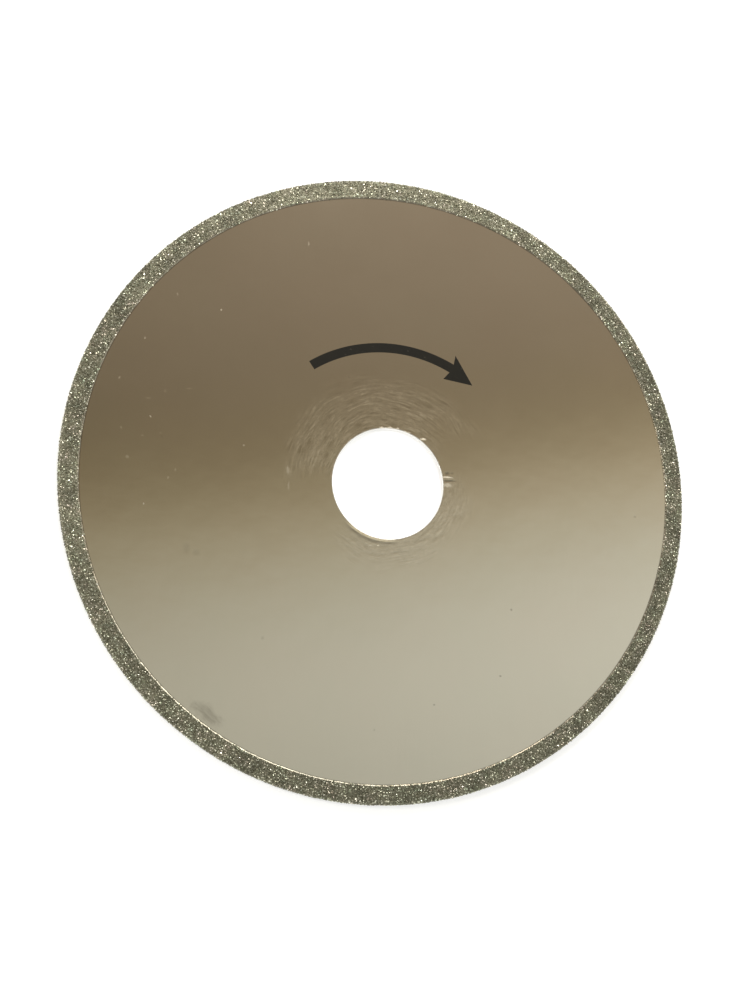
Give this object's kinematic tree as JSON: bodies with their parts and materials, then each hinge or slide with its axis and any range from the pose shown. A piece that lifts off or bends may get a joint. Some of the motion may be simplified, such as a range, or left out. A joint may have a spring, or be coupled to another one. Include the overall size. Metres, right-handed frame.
{
  "type": "diamond cutting blade",
  "caption": "Thin round cutting blade: a polished steel disc with a round arbor bore, its edge plated with a raised continuous band of diamond grit.",
  "frame": {"origin": "centre of the bore, halfway through the plate", "axes": "+Z along the blade's axis, out of the face that the picture shows; +Y towards the top of the picture, +X to its right"},
  "size_m": [0.125, 0.125, 0.0018],
  "materials": {
    "polished_steel": "polished, with a warm grey tone, fine swirl scuffs round the bore",
    "plated_grit": "coarse diamond grit held in plated nickel, rough and glinting"
  },
  "bodies": {
    "root": {"steel_core": "polished_steel", "diamond_rim": "plated_grit"}
  },
  "joints": []
}
